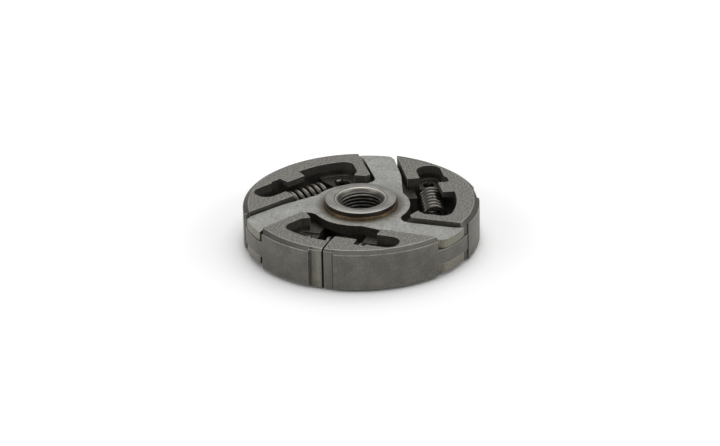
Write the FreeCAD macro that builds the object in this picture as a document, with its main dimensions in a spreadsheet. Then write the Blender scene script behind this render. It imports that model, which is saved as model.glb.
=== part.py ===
import FreeCAD, Part

import math
import os

import Sketcher

# Three-shoe centrifugal clutch of a chain saw, lying on its inner face.
# The origin is on the hub's axis, in the plane of the lower faces, and +Z runs up the hub.
# Each shoe is drawn in a frame of its own: +Y points out through the gap at its clockwise
# end, +X points clockwise, and the shoe reaches 120 degrees counter-clockwise from there.
# End A is the shoe's clockwise end and end B is its counter-clockwise end.

os.makedirs("parts", exist_ok=True)

SIZES = (
    # Shoes: the ring that the three of them make
    ("shoe_radius", 33.0, "radius of the friction face"),
    ("shoe_height", 11.9, "shoe from its lower face to its upper face"),
    ("shoe_gap", 0.5, "gap between the end faces of two shoes"),
    ("rest_offset", 0.6, "how far the friction arc's centre lies behind the hub's axis at rest"),
    ("rim_bevel_drop", 0.9, "bevel of the friction face, along the axis"),
    ("rim_bevel_depth", 1.5, "bevel of the friction face, along the radius"),
    ("relief_depth", 0.7, "depth of the relieved band at each end of the friction face"),
    ("relief_a_angle", 5.5, "angle of the relieved band at end A"),
    ("relief_b_angle", 6.9, "angle of the relieved band at end B"),
    # Arms of the drive plates, which the shoes slide on
    ("arm_offset_a", 14.35, "distance from the hub's axis to the line of the arm's edge A"),
    ("arm_offset_b", 7.79, "distance from the hub's axis to the line of the arm's edge B"),
    ("arm_splay_a_angle", -1.0, "slope of the arm's edge A, in degrees"),
    ("arm_splay_b_angle", 2.6, "slope of the arm's edge B, in degrees"),
    ("arm_clearance_a", 0.75, "gap between the arm's edge A and the shoe beside it"),
    ("arm_clearance_b", 1.14, "gap between the arm's edge B and the shoe beside it"),
    ("arm_setback", 1.3, "how far the arm's tip stays inside the shoe radius"),
    ("arm_tip_round", 0.4, "rounding of the arm's two outer corners"),
    # Shoe, end A: leg, slot, notch and the nose over the spring
    ("leg_a_end", 11.0, "from the gap to the end face of leg A"),
    ("leg_a_width", 3.5, "width of leg A"),
    ("slot_width", 6.8, "width of the slot between leg A and the rim"),
    ("slot_end", 18.4, "from the gap to the round end of the slot"),
    ("slot_round", 3.1, "rounding of the slot's end"),
    ("notch_step", 0.7, "how much deeper the notch reaches into the rim than the slot"),
    ("notch_start", 9.75, "from the gap to the deep end of the notch's slanting side"),
    ("notch_slant", 0.8, "length of the notch's slanting side along the slot"),
    ("nose_length", 6.8, "from the gap to the inner end of the nose"),
    ("nose_drop", 3.2, "how far the nose reaches inward from the rim"),
    ("nose_thickness", 1.8, "thickness of the nose"),
    ("nose_bevel", 0.35, "bevel of the nose's corner at the gap"),
    ("nose_round", 0.4, "rounding of the nose's inner corner"),
    # Shoe, end B: pocket and leg
    ("pocket_round", 3.0, "rounding between the pocket's outer wall and leg B"),
    ("leg_b_lean_angle", 28.3, "lean of leg B's inner side, in degrees"),
    ("leg_b_root", 3.43, "width of leg B at its foot"),
    ("leg_b_foot", 15.15, "level of leg B's foot"),
    ("beak_length", 2.2, "how far leg B's beak reaches past its inner side"),
    ("beak_level", 13.95, "level of the beak's point"),
    ("leg_b_tip", 11.35, "level of leg B's tip"),
    ("leg_b_tip_width", 1.6, "width of leg B's tip"),
    ("leg_b_round", 0.65, "rounding of leg B's tip"),
    # Shoe: the web that joins its two ends between the plates
    ("web_clearance", 0.1, "gap between the web and each plate"),
    ("web_tab_end", 6.2, "from the gap to the web's edge below leg A"),
    ("web_tab_drop", 1.6, "how far that part of the web stays below the slot"),
    ("web_a_edge", 11.5, "from the gap to the web's edge in the slot"),
    ("web_b_edge", 6.7, "from the gap to the web's edge at end B"),
    ("web_stop_gap", 0.3, "gap between the web and the hub's spacer at rest"),
    ("floor_recess", 0.6, "depth of the recess round each spring hook"),
    ("floor_ledge", 0.8, "width of the ledge left round each recess"),
    ("hook_hole_radius", 1.6, "radius of the hole that a spring hook goes through"),
    # Drive plates
    ("plate_thickness", 2.6, "thickness of a drive plate"),
    ("plate_recess", 1.1, "how far a plate lies inside the shoes' faces"),
    ("hub_disc_radius", 13.55, "radius of the plate's middle"),
    ("arm_root_start", 16.0, "from the gap to where edge A bends towards the plate's middle"),
    ("arm_root_end", 3.4, "from the gap to where edge A has reached the plate's middle"),
    ("arm_root_sink", 1.0, "how deep that end lies in the plate's middle"),
    ("bay_round_a", 4.0, "rounding in the corner of edge A and the middle"),
    ("bay_round_b", 3.1, "rounding in the corner of edge B and the middle"),
    # Hub
    ("barrel_radius", 8.0, "radius of the hub's barrel"),
    ("barrel_clearance", 0.02, "brazed gap round the barrel in the plates and the spacer"),
    ("flange_radius", 9.8, "radius of the hub's flange"),
    ("flange_thickness", 1.6, "thickness of the hub's flange"),
    ("flange_bevel", 0.2, "bevel of the flange's upper edge"),
    ("spacer_radius", 10.5, "outer radius of the spacer between the plates"),
    ("thread_minor_radius", 5.46, "crest radius of the M12 x 1 left-hand thread"),
    ("mouth_radius", 7.0, "radius of the bore's mouth"),
    ("mouth_bevel", 0.55, "bevel of the bore's mouth"),
    ("entry_radius", 6.2, "radius of the plain entry at its lower end"),
    ("entry_depth", 1.4, "depth of the plain entry"),
    ("thread_run_in", 0.4, "depth of the cone from the entry to the thread"),
    ("lower_bevel", 0.6, "bevel at the bore's lower end"),
    ("braze_leg", 0.5, "leg of the brazed fillets along the plates"),
    ("braze_height", 0.45, "height of the brazed fillets"),
    # Springs
    ("coil_mean_radius", 3.05, "radius of the spring's wire line"),
    ("wire_radius", 0.7, "radius of the spring's wire"),
    ("coil_turns", 8, "number of the spring's coils, each of which is a rib"),
    ("coil_rib_width", 1.2, "width of each of those ribs"),
    ("coil_valley", 0.75, "depth of the valleys between the ribs"),
    ("hook_a_place", 14.9, "from the gap to the hook hole at end A"),
    ("hook_a_rise", 3.3, "from the slot's inner side to the hook hole at end A"),
    ("hook_b_place", 9.8, "from the gap to the hook hole at end B"),
    ("hook_b_drop", 6.7, "from the rim's inner wall to the hook hole at end B"),
    ("hook_a_reach", 4.4, "from the hook hole at end A to the first coil"),
    ("hook_b_reach", 3.9, "from the last coil to the hook hole at end B"),
    ("hook_pull", 0.8, "how far a hook stands out of its hole's middle, towards the coil"),
    ("hook_bend", 1.1, "reach of the two cut corners in each hook"),
    ("hook_top", 3.2, "level of the hook's tip above the spring's wire line"),
    ("hook_tip", 0.3, "straight tip of each hook"),
)

FIRST_GAP = -109.4
SHOES = 3
# How far a cutting outline runs past what it cuts
OVERSHOOT = 4.0
NOSE_MARGIN = 0.5
# Sides of the hooks' wire and of the ribbed sleeve
WIRE_SIDES = 6
COIL_SIDES = 10

doc = FreeCAD.newDocument("clutch")
sheet = doc.addObject("Spreadsheet::Sheet", "Sizes")
for row, (word, amount, meaning) in enumerate(SIZES, start=1):
    sheet.set(f"A{row}", meaning)
    sheet.set(f"B{row}", str(amount))
    sheet.setAlias(f"B{row}", word)
doc.recompute()


class Size:
    """A length or angle, with the formula on the sheet's cells that gives it."""

    def __init__(self, value, formula):
        self.value = value
        self.formula = formula

    def _with(self, other, sign, value):
        right = other.formula if isinstance(other, Size) else repr(other)
        return Size(value, f"({self.formula} {sign} {right})")

    def __add__(self, other):
        return self._with(other, "+", self.value + number(other))

    def __sub__(self, other):
        return self._with(other, "-", self.value - number(other))

    def __mul__(self, other):
        return self._with(other, "*", self.value * number(other))

    def __truediv__(self, other):
        return self._with(other, "/", self.value / number(other))

    def __neg__(self):
        return Size(-self.value, f"(-1 * {self.formula})")


def number(quantity):
    """The plain number of a Size or of a number."""
    return quantity.value if isinstance(quantity, Size) else quantity


def size(word):
    """The named cell of the sheet."""
    return Size(float(sheet.get(word)), f"Sizes.{word}")


def sine(angle):
    return Size(math.sin(math.radians(angle.value)), f"sin({angle.formula})")


def cosine(angle):
    return Size(math.cos(math.radians(angle.value)), f"cos({angle.formula})")


def tangent(angle):
    return Size(math.tan(math.radians(angle.value)), f"tan({angle.formula})")


def root(square):
    return Size(math.sqrt(square.value), f"sqrt({square.formula})")


NOTHING = Size(0.0, "0")


def free(value):
    """A place that the sketch works out; the value is where it is first drawn."""
    return Size(value, None)


# Levels
height = size("shoe_height")
plate_low = size("plate_recess")
plate_top = plate_low + size("plate_thickness")
web_low = plate_top + size("web_clearance")
web_height = height - web_low * 2
upper_plate_low = height - plate_top
upper_plate_top = height - plate_low
web_top = web_low + web_height
middle = height / 2

# Lines in the frame of a shoe
half_gap = size("shoe_gap") / 2
leg_a_offset = size("arm_offset_a") + size("arm_clearance_a")
leg_b_offset = size("arm_offset_b") - size("arm_clearance_b")
slot_low = (
    leg_a_offset / cosine(size("arm_splay_a_angle"))
    - size("leg_a_end") * tangent(size("arm_splay_a_angle"))
    + size("leg_a_width")
)
slot_top = slot_low + size("slot_width")
rim_inner = slot_top + size("notch_step")
nose_inner = rim_inner - size("nose_drop")
hook_a_level = slot_low + size("hook_a_rise")
hook_b_level = rim_inner - size("hook_b_drop")
blank_reach = (size("shoe_radius") + OVERSHOOT) * 1.25


def vector(x, y, z=0.0):
    return FreeCAD.Vector(number(x), number(y), number(z))


def plane_of(body, role):
    """One of the body's own origin planes or axes."""
    for feature in body.Origin.OriginFeatures:
        if feature.Role == role:
            return feature
    raise RuntimeError(f"{body.Label} has no {role}")


def new_body(label, turn=0.0):
    body = doc.addObject("PartDesign::Body", label)
    body.Label = label
    body.Placement = FreeCAD.Placement(vector(0, 0), FreeCAD.Rotation(vector(0, 0, 1), turn))
    return body


def new_sketch(body, name, level=None, turn=0.0):
    """A sketch that lies flat at a level, turned about the hub's axis."""
    sketch = body.newObject("Sketcher::SketchObject", f"{body.Name}_{name}")
    sketch.AttachmentSupport = [(plane_of(body, "XY_Plane"), "")]
    sketch.MapMode = "FlatFace"
    turned = FreeCAD.Rotation(vector(0, 0, 1), turn)
    sketch.AttachmentOffset = FreeCAD.Placement(vector(0, 0, level if level else 0), turned)
    if level:
        sketch.setExpression("AttachmentOffset.Base.z", level.formula)
    return sketch


def upright_sketch(body, name, turn=0.0):
    """A sketch that stands on the axis: its X is the radius and its Y is the height."""
    sketch = body.newObject("Sketcher::SketchObject", f"{body.Name}_{name}")
    sketch.AttachmentSupport = [(plane_of(body, "XZ_Plane"), "")]
    sketch.MapMode = "FlatFace"
    turned = FreeCAD.Rotation(vector(0, 1, 0), turn)
    sketch.AttachmentOffset = FreeCAD.Placement(vector(0, 0), turned)
    return sketch


def hold_point(sketch, line, end, x, y):
    """Holds a point of the sketch at a place that the sheet gives."""
    for kind, place in (("DistanceX", x), ("DistanceY", y)):
        if isinstance(place, Size) and place.formula is None:
            continue
        index = sketch.addConstraint(Sketcher.Constraint(kind, -1, 1, line, end, number(place)))
        if isinstance(place, Size):
            sketch.setExpression(f"Constraints[{index}]", place.formula)


def draw_outline(sketch, corners, arcs=None):
    """A closed outline through the corners; arcs gives the centre of each edge that is round.

    A centre at the left of its edge makes the edge run counter-clockwise about it.
    """
    ends = draw_edges(sketch, corners + corners[:1], arcs or {})
    last = len(ends) - 1
    joint = Sketcher.Constraint("Coincident", last, ends[last][1], 0, ends[0][0])
    sketch.addConstraint(joint)
    for index, corner in enumerate(corners):
        hold_point(sketch, index, ends[index][0], *corner)


def draw_path(sketch, points):
    """An open path of straight edges through the points."""
    ends = draw_edges(sketch, points, {})
    for index, point in enumerate(points[:-1]):
        hold_point(sketch, index, ends[index][0], *point)
    hold_point(sketch, len(ends) - 1, ends[-1][1], *points[-1])


def draw_edges(sketch, points, arcs):
    """Edges from each point to the next, joined; gives the numbers of each edge's two ends."""
    ends = []
    for index, point in enumerate(points[:-1]):
        following = points[index + 1]
        if index in arcs:
            ends.append(draw_arc(sketch, vector(*point), vector(*following), arcs[index]))
        else:
            sketch.addGeometry(Part.LineSegment(vector(*point), vector(*following)), False)
            ends.append((1, 2))
    for index in range(len(ends) - 1):
        joint = Sketcher.Constraint(
            "Coincident", index, ends[index][1], index + 1, ends[index + 1][0]
        )
        sketch.addConstraint(joint)
    return ends


def draw_arc(sketch, start, finish, centre):
    """An arc from start to finish by the shorter way; gives the numbers of its two ends."""
    middle_point = vector(*centre)
    first = start - middle_point
    last = finish - middle_point
    circle = Part.Circle(middle_point, vector(0, 0, 1), first.Length)
    clockwise = first.x * last.y - first.y * last.x < 0
    if clockwise:
        first, last = last, first
    arc = Part.ArcOfCircle(circle, math.atan2(first.y, first.x), math.atan2(last.y, last.x))
    line = sketch.addGeometry(arc, False)
    if middle_point.Length == 0:
        sketch.addConstraint(Sketcher.Constraint("Coincident", line, 3, -1, 1))
    else:
        hold_point(sketch, line, 3, *centre)
    return (2, 1) if clockwise else (1, 2)


def draw_circle(sketch, x, y, radius):
    circle = Part.Circle(vector(x, y), vector(0, 0, 1), number(radius))
    line = sketch.addGeometry(circle, False)
    if number(x) == 0 and number(y) == 0:
        sketch.addConstraint(Sketcher.Constraint("Coincident", line, 3, -1, 1))
    else:
        hold_point(sketch, line, 3, x, y)
    index = sketch.addConstraint(Sketcher.Constraint("Radius", line, number(radius)))
    if isinstance(radius, Size):
        sketch.setExpression(f"Constraints[{index}]", radius.formula)


def pad(body, sketch, length):
    feature = body.newObject("PartDesign::Pad", f"{sketch.Name}_pad")
    feature.Profile = sketch
    feature.Length = number(length)
    feature.setExpression("Length", length.formula)
    return feature


def pocket(body, sketch, length):
    """Cuts down from the sketch by a length."""
    feature = body.newObject("PartDesign::Pocket", f"{sketch.Name}_pocket")
    feature.Profile = sketch
    feature.Length = number(length)
    feature.setExpression("Length", length.formula)
    return feature


def groove(body, sketch, angle=None):
    """Turns the sketch about the upright axis and cuts it away."""
    feature = body.newObject("PartDesign::Groove", f"{sketch.Name}_groove")
    feature.Profile = sketch
    feature.ReferenceAxis = (sketch, ["V_Axis"])
    feature.Angle = 360
    if angle:
        feature.Midplane = True
        feature.Angle = number(angle)
        feature.setExpression("Angle", angle.formula)
    return feature


def revolution(body, sketch):
    feature = body.newObject("PartDesign::Revolution", f"{sketch.Name}_turned")
    feature.Profile = sketch
    feature.ReferenceAxis = (sketch, ["V_Axis"])
    feature.Angle = 360
    return feature


def upright_edges(shape, places):
    """The names of the upright edges nearest to the places, given in the body's own frame."""
    names = []
    for x, y in places:
        best = None
        for index, edge in enumerate(shape.Edges, start=1):
            box = edge.BoundBox
            if box.XLength > 0.01 or box.YLength > 0.01:
                continue
            distance = math.hypot(box.XMin - number(x), box.YMin - number(y))
            if best is None or distance < best[0] - 1e-6:
                best = (distance, [f"Edge{index}"])
            elif abs(distance - best[0]) <= 1e-6:
                best[1].append(f"Edge{index}")
        names.extend(best[1])
    return names


def fillet(body, name, places, radius):
    """Rounds the upright edges at the places."""
    doc.recompute()
    base = body.Tip
    names = upright_edges(base.Shape, places)
    feature = body.newObject("PartDesign::Fillet", f"{body.Name}_{name}")
    feature.Base = (base, names)
    feature.Radius = number(radius)
    feature.setExpression("Radius", radius.formula)
    doc.recompute()
    return feature


def turned(x, y, angle):
    """A place turned counter-clockwise about the axis."""
    c, s = math.cos(math.radians(angle)), math.sin(math.radians(angle))
    return (x * c - y * s, x * s + y * c)


def ahead(reach, angle):
    """A place so far from the axis, at an angle counter-clockwise of the gap, as sizes."""
    return (reach * -math.sin(math.radians(angle)), reach * math.cos(math.radians(angle)))


def edge_a(offset, along):
    """A point on a line beside the arm's edge A, so far counter-clockwise of the gap."""
    splay = size("arm_splay_a_angle")
    return (-along, offset / cosine(splay) - along * tangent(splay))


def edge_b(offset, along):
    """A point on a line beside the arm's edge B, in the frame of the gap at end A."""
    splay = size("arm_splay_b_angle")
    return (-along, offset / cosine(splay) - along * tangent(splay))


def make_plate(label, level):
    """A drive plate: a round middle with three arms, and a bore that fits the hub's barrel."""
    body = new_body(label, FIRST_GAP - 90)
    thickness = size("plate_thickness")
    sketch = new_sketch(body, "middle", level)
    draw_circle(sketch, 0, 0, size("hub_disc_radius"))
    pad(body, sketch, thickness)

    sketch = new_sketch(body, "arm", level)
    draw_outline(sketch, [
        (-size("arm_root_end"), size("hub_disc_radius") - size("arm_root_sink")),
        edge_a(size("arm_offset_a"), size("arm_root_start")),
        edge_a(size("arm_offset_a"), blank_reach),
        edge_b(size("arm_offset_b"), blank_reach),
        edge_b(size("arm_offset_b"), size("arm_root_end")),
    ])
    arm = pad(body, sketch, thickness)
    pattern = body.newObject("PartDesign::PolarPattern", f"{body.Name}_arms")
    pattern.Originals = [arm]
    pattern.Axis = (plane_of(body, "Z_Axis"), [""])
    pattern.Angle = 360
    pattern.Occurrences = SHOES
    body.Tip = pattern
    doc.recompute()

    sketch = new_sketch(body, "tips", level + thickness)
    draw_circle(sketch, 0, 0, size("shoe_radius") - size("arm_setback"))
    draw_circle(sketch, 0, 0, blank_reach + OVERSHOOT)
    pocket(body, sketch, thickness)
    sketch = new_sketch(body, "bore", level + thickness)
    draw_circle(sketch, 0, 0, size("barrel_radius") + size("barrel_clearance"))
    pocket(body, sketch, thickness)

    tip_radius = number(size("shoe_radius") - size("arm_setback"))
    tips = []
    roots_a = []
    roots_b = []
    for arm_number in range(SHOES):
        turn = 360 / SHOES * arm_number
        for line, offset in ((edge_a, size("arm_offset_a")), (edge_b, size("arm_offset_b"))):
            tips.append(turned(*on_circle(line, offset, tip_radius), turn))
        disc = number(size("hub_disc_radius"))
        roots_b.append(turned(*on_circle(edge_b, size("arm_offset_b"), disc), turn))
        roots_a.append(turned(*root_corner(), turn))
    fillet(body, "tip_rounds", tips, size("arm_tip_round"))
    fillet(body, "bays_a", roots_a, size("bay_round_a"))
    fillet(body, "bays_b", roots_b, size("bay_round_b"))


def on_circle(line, offset, radius):
    """Where a line beside the arm crosses a circle about the axis, outward of the gap."""
    near = [number(value) for value in line(offset, size("arm_root_end"))]
    far = [number(value) for value in line(offset, blank_reach)]
    return crossing(near, far, radius)


def root_corner():
    """Where the bent root of edge A runs into the plate's middle."""
    start = [number(value) for value in edge_a(size("arm_offset_a"), size("arm_root_start"))]
    sunk = number(size("hub_disc_radius") - size("arm_root_sink"))
    return crossing([-number(size("arm_root_end")), sunk], start, number(size("hub_disc_radius")))


def crossing(near, far, radius):
    """Where the way from a near point to a far one crosses a circle about the axis."""
    dx, dy = far[0] - near[0], far[1] - near[1]
    a = dx * dx + dy * dy
    b = near[0] * dx + near[1] * dy
    c = near[0] ** 2 + near[1] ** 2 - radius ** 2
    share = (-b + math.sqrt(b * b - a * c)) / a
    return (near[0] + share * dx, near[1] + share * dy)


def make_shoe(label, gap_angle):
    """A shoe: a web between the plates, with a full-height rim and leg at each end."""
    body = new_body(label, gap_angle - 90)
    add_web(body)
    add_end_a(body)
    add_end_b(body)
    turn_rim(body)
    cut_floors(body)
    cut_hook_holes(body)


def add_web(body):
    """The web, cut back for the spring at both ends and for the hub's spacer."""
    sketch = new_sketch(body, "web", web_low)
    draw_outline(sketch, [
        (0, 0),
        (0, blank_reach),
        ahead(blank_reach, 180 / SHOES),
        ahead(blank_reach, 360 / SHOES),
    ])
    pad(body, sketch, web_height)

    sketch = new_sketch(body, "stop", web_top)
    draw_circle(sketch, 0, 0, size("spacer_radius") + size("web_stop_gap"))
    pocket(body, sketch, web_height)

    slot_side = size("web_a_edge")
    tab_top = slot_low - size("web_tab_drop")
    sketch = new_sketch(body, "bay_a", web_top)
    draw_outline(sketch, [
        (OVERSHOOT, -OVERSHOOT),
        (OVERSHOOT, blank_reach + OVERSHOOT),
        (-slot_side, blank_reach + OVERSHOOT),
        (-slot_side, tab_top),
        (-size("web_tab_end"), tab_top),
        (-size("web_tab_end"), -OVERSHOOT),
    ])
    pocket(body, sketch, web_height)

    sketch = new_sketch(body, "bay_b", web_top, 360 / SHOES)
    draw_outline(sketch, [
        (-OVERSHOOT, -OVERSHOOT),
        (size("web_b_edge"), -OVERSHOOT),
        (size("web_b_edge"), blank_reach + OVERSHOOT),
        (-OVERSHOOT, blank_reach + OVERSHOOT),
    ])
    pocket(body, sketch, web_height)


def add_end_a(body):
    """The full-height end A: rim, leg A, the round slot, the notch and the nose."""
    sketch = new_sketch(body, "end_a", 0)
    leg_end = size("leg_a_end")
    slot_end = size("slot_end")
    nose_end = size("nose_length")
    draw_outline(sketch, [
        edge_a(leg_a_offset, leg_end),
        (-leg_end, slot_low),
        (-slot_end, slot_low),
        (-slot_end, slot_top),
        (-(size("notch_start") + size("notch_slant")), slot_top),
        (-size("notch_start"), rim_inner),
        (-nose_end, rim_inner),
        (-nose_end, nose_inner),
        (-(half_gap + size("nose_bevel")), nose_inner),
        (-half_gap, rim_inner),
        (-half_gap, blank_reach),
        edge_a(leg_a_offset, blank_reach),
    ])
    pad(body, sketch, height)

    sketch = new_sketch(body, "under_nose", height - size("nose_thickness"))
    draw_outline(sketch, [
        (-(nose_end + NOSE_MARGIN), nose_inner - NOSE_MARGIN),
        (OVERSHOOT, nose_inner - NOSE_MARGIN),
        (OVERSHOOT, rim_inner),
        (-(nose_end + NOSE_MARGIN), rim_inner),
    ])
    pocket(body, sketch, height - size("nose_thickness") * 2)
    fillet(body, "slot_rounds", [(-slot_end, slot_low), (-slot_end, slot_top)],
           size("slot_round"))
    fillet(body, "nose_rounds", [(-nose_end, nose_inner)], size("nose_round"))


def leg_b_outer(level):
    """A point on leg B's side along the arm, in the frame of the gap at end B."""
    lean = size("arm_splay_b_angle") * -1 + (360 / SHOES - 90)
    return (leg_b_offset / cosine(lean) + level * tangent(lean), level)


def leg_b_inner(level, inset):
    """A point on leg B's inner side, or inside it by an inset, in the same frame."""
    lean = size("leg_b_lean_angle")
    foot = leg_b_outer(size("leg_b_foot"))[0] - size("leg_b_root") - inset / cosine(lean)
    return (foot + (level - size("leg_b_foot")) * tangent(lean), level)


def pocket_corner(inset):
    """Where leg B's inner side meets the pocket's round outer wall, both moved in alike."""
    lean = tangent(size("leg_b_lean_angle"))
    at_axis = leg_b_inner(size("leg_b_foot"), inset)[0] - size("leg_b_foot") * lean
    radius = rim_inner - inset
    share = lean * lean + 1
    level = (root(radius * radius * share - at_axis * at_axis) - at_axis * lean) / share
    return (at_axis + level * lean, level)


def add_end_b(body):
    """The full-height end B: rim, the wide pocket and leg B with its beak."""
    turn = 360 / SHOES
    sketch = new_sketch(body, "end_b", 0, turn)
    foot = leg_b_inner(size("leg_b_foot"), NOTHING)
    tip = leg_b_outer(size("leg_b_tip"))
    start_level = math.sqrt(rim_inner.value ** 2 - half_gap.value ** 2)
    corners = [
        (half_gap, free(start_level)),
        pocket_corner(NOTHING),
        foot,
        (foot[0] - size("beak_length"), size("beak_level")),
        (tip[0] - size("leg_b_tip_width"), size("leg_b_tip")),
        tip,
        leg_b_outer(blank_reach),
        (half_gap, blank_reach),
    ]
    draw_outline(sketch, corners, {0: (0, 0)})
    pad(body, sketch, height)
    fillet(body, "pocket_rounds", [turned(*corners[1], turn)], size("pocket_round"))
    tips = [turned(*corners[4], turn), turned(*corners[5], turn)]
    fillet(body, "leg_b_rounds", tips, size("leg_b_round"))


def cut_floors(body):
    """The shallow recess round each hook hole, on both faces of the web."""
    turn = 360 / SHOES
    ledge = size("floor_ledge")
    depth = size("floor_recess")
    bend = size("slot_round") - ledge
    low = slot_low + ledge
    high = slot_top - ledge
    far_end = -(size("slot_end") - ledge)
    near_end = -(size("leg_a_end") - OVERSHOOT)
    start = size("web_b_edge") - OVERSHOOT
    start_level = math.sqrt((rim_inner.value - ledge.value) ** 2 - start.value ** 2)
    centre = pocket_corner(size("pocket_round"))
    spread = (rim_inner - ledge) / (rim_inner - size("pocket_round"))
    lean = size("leg_b_lean_angle")
    bend_b = size("pocket_round") - ledge
    bend_end = centre[0] + bend_b * cosine(lean)
    for side, level in (("upper", web_top), ("lower", web_low + depth)):
        sketch = new_sketch(body, f"floor_a_{side}", level)
        draw_outline(sketch, [
            (far_end, low + bend),
            (far_end + bend, free(low.value)),
            (near_end, low),
            (near_end, high),
            (far_end + bend, high),
            (free(far_end.value), high - bend),
        ], {0: (far_end + bend, low + bend), 4: (far_end + bend, high - bend)})
        pocket(body, sketch, depth)
        sketch = new_sketch(body, f"floor_b_{side}", level, turn)
        draw_outline(sketch, [
            (start, free(start_level)),
            (centre[0] * spread, centre[1] * spread),
            (free(bend_end.value), centre[1] - bend_b * sine(lean)),
            leg_b_inner(size("leg_b_foot"), ledge),
            (start, size("leg_b_foot")),
        ], {0: (0, 0), 1: centre})
        pocket(body, sketch, depth)


def cut_hook_holes(body):
    sketch = new_sketch(body, "hook_hole_a", web_top)
    draw_circle(sketch, -size("hook_a_place"), hook_a_level, size("hook_hole_radius"))
    pocket(body, sketch, web_height)
    sketch = new_sketch(body, "hook_hole_b", web_top, 360 / SHOES)
    draw_circle(sketch, size("hook_b_place"), hook_b_level, size("hook_hole_radius"))
    pocket(body, sketch, web_height)


def turn_rim(body):
    """Turns the friction face with its two bevels, then the relieved bands at both ends."""
    drop = size("rim_bevel_drop")
    depth = size("rim_bevel_depth")
    radius = size("shoe_radius")
    sketch = upright_sketch(body, "friction_face")
    half_angle = math.radians(180 / SHOES)
    back = size("rest_offset")
    sketch.setExpression("AttachmentOffset.Base.x", (back * math.sin(half_angle)).formula)
    sketch.setExpression("AttachmentOffset.Base.z", (back * math.cos(half_angle)).formula)
    draw_outline(sketch, [
        (radius - depth, -OVERSHOOT),
        (radius - depth, 0),
        (radius, drop),
        (radius, height - drop),
        (radius - depth, height),
        (radius - depth, height + OVERSHOOT),
        (radius * 2, height + OVERSHOOT),
        (radius * 2, -OVERSHOOT),
    ])
    groove(body, sketch)

    band = radius - size("rest_offset") / 2 - size("relief_depth")
    for end, turn in (("a", 90.0), ("b", 90.0 + 360 / SHOES)):
        sketch = upright_sketch(body, f"relief_{end}", turn)
        draw_outline(sketch, [
            (band, -OVERSHOOT),
            (band, height + OVERSHOOT),
            (radius * 2, height + OVERSHOOT),
            (radius * 2, -OVERSHOOT),
        ])
        groove(body, sketch, size(f"relief_{end}_angle") * 2)


def make_hub():
    """The turned hub: barrel, flange, bevelled mouth, plain entry and the bore for the thread."""
    body = new_body("hub")
    top = upper_plate_top + size("flange_thickness")
    bevel = size("flange_bevel")
    minor = size("thread_minor_radius")
    entry_low = top - size("entry_depth")
    sketch = upright_sketch(body, "profile")
    draw_outline(sketch, [
        (minor + size("lower_bevel"), 0),
        (size("barrel_radius"), 0),
        (size("barrel_radius"), upper_plate_top),
        (size("flange_radius"), upper_plate_top),
        (size("flange_radius"), top - bevel),
        (size("flange_radius") - bevel, top),
        (size("mouth_radius"), top),
        (size("mouth_radius") - size("mouth_bevel"), top - size("mouth_bevel")),
        (size("entry_radius"), entry_low),
        (minor, entry_low - size("thread_run_in")),
        (minor, size("lower_bevel")),
    ])
    revolution(body, sketch)


def make_ring(label, corners):
    """A turned ring from the corners of its section."""
    body = new_body(label)
    sketch = upright_sketch(body, "section")
    draw_outline(sketch, corners)
    revolution(body, sketch)


def make_spacer():
    bore = size("barrel_radius") + size("barrel_clearance")
    make_ring("hub_spacer", [
        (bore, plate_top),
        (size("spacer_radius"), plate_top),
        (size("spacer_radius"), upper_plate_low),
        (bore, upper_plate_low),
    ])


def make_braze_rings():
    """The fillets of brazing metal at the flange's foot and at the barrel's lower end."""
    leg = size("braze_leg")
    rise = size("braze_height")
    flange = size("flange_radius")
    barrel = size("barrel_radius")
    make_ring("braze_fillet_upper", [
        (flange, upper_plate_top),
        (flange + leg, upper_plate_top),
        (flange, upper_plate_top + rise),
    ])
    make_ring("braze_fillet_lower", [
        (barrel, plate_low),
        (barrel, plate_low - rise),
        (barrel + leg, plate_low),
    ])


def make_spring(label, gap_angle):
    """An extension spring whose hooks go down into the webs of two neighbouring shoes.

    Its own frame starts in the hook hole at end A: Z runs to the other hole and X points up.
    """
    start = turned(-size("hook_a_place"), hook_a_level, gap_angle - 90)
    end = turned(size("hook_b_place"), hook_b_level, gap_angle - 90)
    along = vector(end[0] - start[0], end[1] - start[1])
    along.normalize()
    up = vector(0, 0, 1)
    body = new_body(label)
    frame = FreeCAD.Rotation(up, along.cross(up), along, "ZXY")
    body.Placement = FreeCAD.Placement(vector(*start, middle), frame)
    for direction, place in zip("xyz", (*start, middle)):
        body.setExpression(f"Placement.Base.{direction}", place.formula)

    wide = size("hook_a_place") + size("hook_b_place")
    fall = hook_a_level - hook_b_level
    span = root(wide * wide + fall * fall)
    coil_start = size("hook_a_reach")
    coil_end = span - size("hook_b_reach")
    add_coils(body, coil_start, coil_end)
    add_hook(body, "hook_a", coil_start, size("hook_pull"), 1)
    add_hook(body, "hook_b", coil_end, span - size("hook_pull"), -1)


def corners_about(x, radius, sides):
    """The corners of an even-sided outline about a place on the sketch's X."""
    places = []
    for corner in range(sides):
        angle = math.radians(360 / sides * (corner + 0.5))
        places.append((x + radius * math.cos(angle), radius * math.sin(angle)))
    return places


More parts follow.
